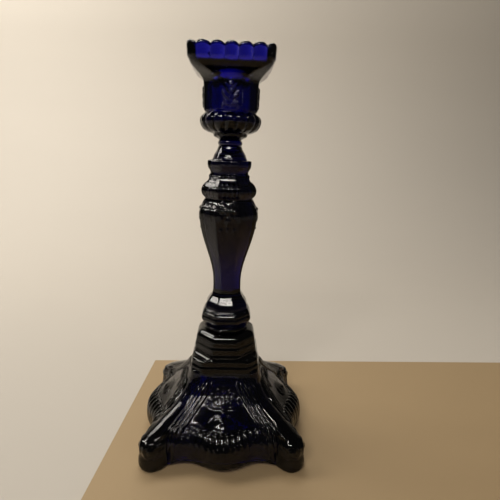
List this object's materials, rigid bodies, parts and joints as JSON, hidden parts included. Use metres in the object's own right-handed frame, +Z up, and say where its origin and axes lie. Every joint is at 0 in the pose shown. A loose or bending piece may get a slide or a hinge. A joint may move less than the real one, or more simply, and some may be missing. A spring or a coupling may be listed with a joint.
{
  "type": "candlestick",
  "caption": "Dark blue pressed-glass candlestick with a square scalloped drip pan, an octagonal moulded stem and a flared base on scroll feet.",
  "frame": {"origin": "centre of the base, on the plane that the four feet stand on", "axes": "+Z up the stem and out of the candle hole, +X and +Y face two flat sides of the base and of the drip pan"},
  "size_m": [0.1068, 0.1068, 0.24],
  "materials": {
    "blue_glass": "fire-polished cobalt-blue pressed glass, nearly black where it is thick"
  },
  "bodies": {
    "root": {"socket": "blue_glass", "neck_wafer": "blue_glass", "stem": "blue_glass", "base_wafer": "blue_glass", "base": "blue_glass"}
  },
  "joints": []
}
